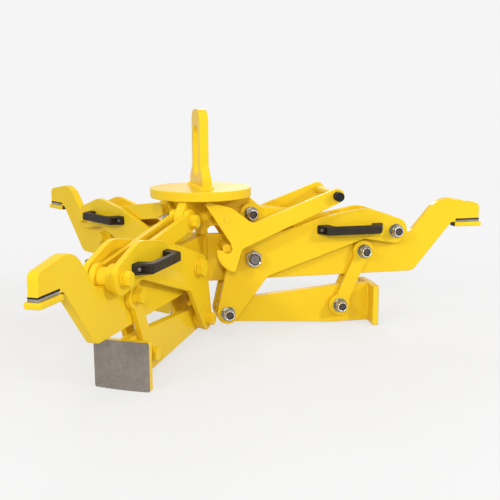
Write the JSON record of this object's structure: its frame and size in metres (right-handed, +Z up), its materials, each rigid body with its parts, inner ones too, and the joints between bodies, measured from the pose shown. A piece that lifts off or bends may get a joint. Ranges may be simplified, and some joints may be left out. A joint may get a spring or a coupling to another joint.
{
  "type": "internal gripper",
  "caption": "Lifting gripper that stands in a ring, hooks over its edge on radial arms and spreads curved pads against the bore by a crank linkage under a central eye.",
  "frame": {"origin": "middle of the upper round of the lifting eye, where the crane hook bears", "axes": "+Z up, +X out along the arm with the latch lever, +Y to the left of that arm"},
  "size_m": [1.1, 1.2686, 0.5354],
  "materials": {
    "yellow_paint": "gloss",
    "zinc_steel": "zinc plated",
    "bare_steel": "bare",
    "black_plastic": "matt",
    "black_rubber": "matt"
  },
  "bodies": {
    "star_frame": {"hook_arm_right": "yellow_paint", "hook_arm_rear": "yellow_paint", "hook_arm_front": "yellow_paint", "crank_pivot_bosses": "yellow_paint", "crank_pivot_bolts": "yellow_paint", "crank_pivot_nuts": "zinc_steel", "swing_pivot_bolts": "yellow_paint", "swing_pivot_nuts": "zinc_steel", "latch_pin": "yellow_paint", "foot_gaskets": "black_rubber", "foot_strips": "bare_steel", "foot_plates": "yellow_paint", "foot_stops": "black_rubber"},
    "hub": {"top_disc": "yellow_paint", "lifting_lug": "yellow_paint", "centre_post": "yellow_paint", "hub_brackets": "yellow_paint", "link_bolts": "yellow_paint", "link_nuts": "zinc_steel"},
    "latch": {"latch_plate_left": "yellow_paint", "latch_plate_right": "yellow_paint", "latch_rod": "yellow_paint", "latch_rod_caps": "black_plastic", "latch_pivot_pin": "yellow_paint"},
    "crank_right": {"crank_plate_left_right": "yellow_paint", "crank_plate_right_right": "yellow_paint", "crank_spacers_right": "yellow_paint", "crank_bolts_right": "yellow_paint", "crank_fixings_right": "zinc_steel", "handles_right": "black_plastic"},
    "link_right": {"link_bars_right": "yellow_paint"},
    "swing_right": {"swing_links_right": "yellow_paint"},
    "pad_right": {"pad_bar_right": "yellow_paint", "pad_plate_right": "bare_steel", "pad_bolts_right": "yellow_paint", "pad_nuts_right": "zinc_steel"},
    "crank_rear": {"crank_plate_left_rear": "yellow_paint", "crank_plate_right_rear": "yellow_paint", "crank_spacers_rear": "yellow_paint", "crank_bolts_rear": "yellow_paint", "crank_fixings_rear": "zinc_steel", "handles_rear": "black_plastic"},
    "link_rear": {"link_bars_rear": "yellow_paint"},
    "swing_rear": {"swing_links_rear": "yellow_paint"},
    "pad_rear": {"pad_bar_rear": "yellow_paint", "pad_plate_rear": "bare_steel", "pad_bolts_rear": "yellow_paint", "pad_nuts_rear": "zinc_steel"},
    "crank_front": {"crank_plate_left_front": "yellow_paint", "crank_plate_right_front": "yellow_paint", "crank_spacers_front": "yellow_paint", "crank_bolts_front": "yellow_paint", "crank_fixings_front": "zinc_steel", "handles_front": "black_plastic"},
    "link_front": {"link_bars_front": "yellow_paint"},
    "swing_front": {"swing_links_front": "yellow_paint"},
    "pad_front": {"pad_bar_front": "yellow_paint", "pad_plate_front": "bare_steel", "pad_bolts_front": "yellow_paint", "pad_nuts_front": "zinc_steel"}
  },
  "joints": [
    {"name": "hub_lift", "type": "slide", "parent": "star_frame", "child": "hub", "axis": [0, 0, 1], "range_m": [0, 0.3]},
    {"name": "latch_lever", "type": "hinge", "parent": "hub", "child": "latch", "pos_m": [0.0485, 0, -0.1859], "axis": [0, -1, 0], "range_deg": [0, 25]},
    {"name": "crank_turn_right", "type": "hinge", "parent": "star_frame", "child": "crank_right", "pos_m": [0.118, 0, -0.2894], "axis": [0, -1, 0], "range_deg": [0, 24.87]},
    {"name": "link_turn_right", "type": "hinge", "parent": "hub", "child": "link_right", "pos_m": [0.118, 0, -0.1844], "axis": [0, -1, 0], "range_deg": [-24.87, 0]},
    {"name": "swing_turn_right", "type": "hinge", "parent": "star_frame", "child": "swing_right", "pos_m": [0.405, 0, -0.2879], "axis": [0, -1, 0], "range_deg": [0, 24.87]},
    {"name": "pad_turn_right", "type": "hinge", "parent": "crank_right", "child": "pad_right", "pos_m": [0.057, 0, -0.4244], "axis": [0, -1, 0], "range_deg": [-24.87, 0]},
    {"name": "crank_turn_rear", "type": "hinge", "parent": "star_frame", "child": "crank_rear", "pos_m": [-0.059, 0.10219, -0.2894], "axis": [0.866, 0.5, 0], "range_deg": [0, 24.87]},
    {"name": "link_turn_rear", "type": "hinge", "parent": "hub", "child": "link_rear", "pos_m": [-0.059, 0.10219, -0.1844], "axis": [0.866, 0.5, 0], "range_deg": [-24.87, 0]},
    {"name": "swing_turn_rear", "type": "hinge", "parent": "star_frame", "child": "swing_rear", "pos_m": [-0.2025, 0.35074, -0.2879], "axis": [0.866, 0.5, 0], "range_deg": [0, 24.87]},
    {"name": "pad_turn_rear", "type": "hinge", "parent": "crank_rear", "child": "pad_rear", "pos_m": [-0.0285, 0.04936, -0.4244], "axis": [0.866, 0.5, 0], "range_deg": [-24.87, 0]},
    {"name": "crank_turn_front", "type": "hinge", "parent": "star_frame", "child": "crank_front", "pos_m": [-0.059, -0.10219, -0.2894], "axis": [-0.866, 0.5, 0], "range_deg": [0, 24.87]},
    {"name": "link_turn_front", "type": "hinge", "parent": "hub", "child": "link_front", "pos_m": [-0.059, -0.10219, -0.1844], "axis": [-0.866, 0.5, 0], "range_deg": [-24.87, 0]},
    {"name": "swing_turn_front", "type": "hinge", "parent": "star_frame", "child": "swing_front", "pos_m": [-0.2025, -0.35074, -0.2879], "axis": [-0.866, 0.5, 0], "range_deg": [0, 24.87]},
    {"name": "pad_turn_front", "type": "hinge", "parent": "crank_front", "child": "pad_front", "pos_m": [-0.0285, -0.04936, -0.4244], "axis": [-0.866, 0.5, 0], "range_deg": [-24.87, 0]}
  ],
  "couplings": [
    {"joint": "crank_turn_right", "follows": "hub_lift", "rad_per_m": 1.4442},
    {"joint": "link_turn_right", "follows": "hub_lift", "rad_per_m": -1.4442},
    {"joint": "swing_turn_right", "follows": "hub_lift", "rad_per_m": 1.4442},
    {"joint": "pad_turn_right", "follows": "hub_lift", "rad_per_m": -1.4442},
    {"joint": "crank_turn_rear", "follows": "hub_lift", "rad_per_m": 1.4442},
    {"joint": "link_turn_rear", "follows": "hub_lift", "rad_per_m": -1.4442},
    {"joint": "swing_turn_rear", "follows": "hub_lift", "rad_per_m": 1.4442},
    {"joint": "pad_turn_rear", "follows": "hub_lift", "rad_per_m": -1.4442},
    {"joint": "crank_turn_front", "follows": "hub_lift", "rad_per_m": 1.4442},
    {"joint": "link_turn_front", "follows": "hub_lift", "rad_per_m": -1.4442},
    {"joint": "swing_turn_front", "follows": "hub_lift", "rad_per_m": 1.4442},
    {"joint": "pad_turn_front", "follows": "hub_lift", "rad_per_m": -1.4442}
  ]
}
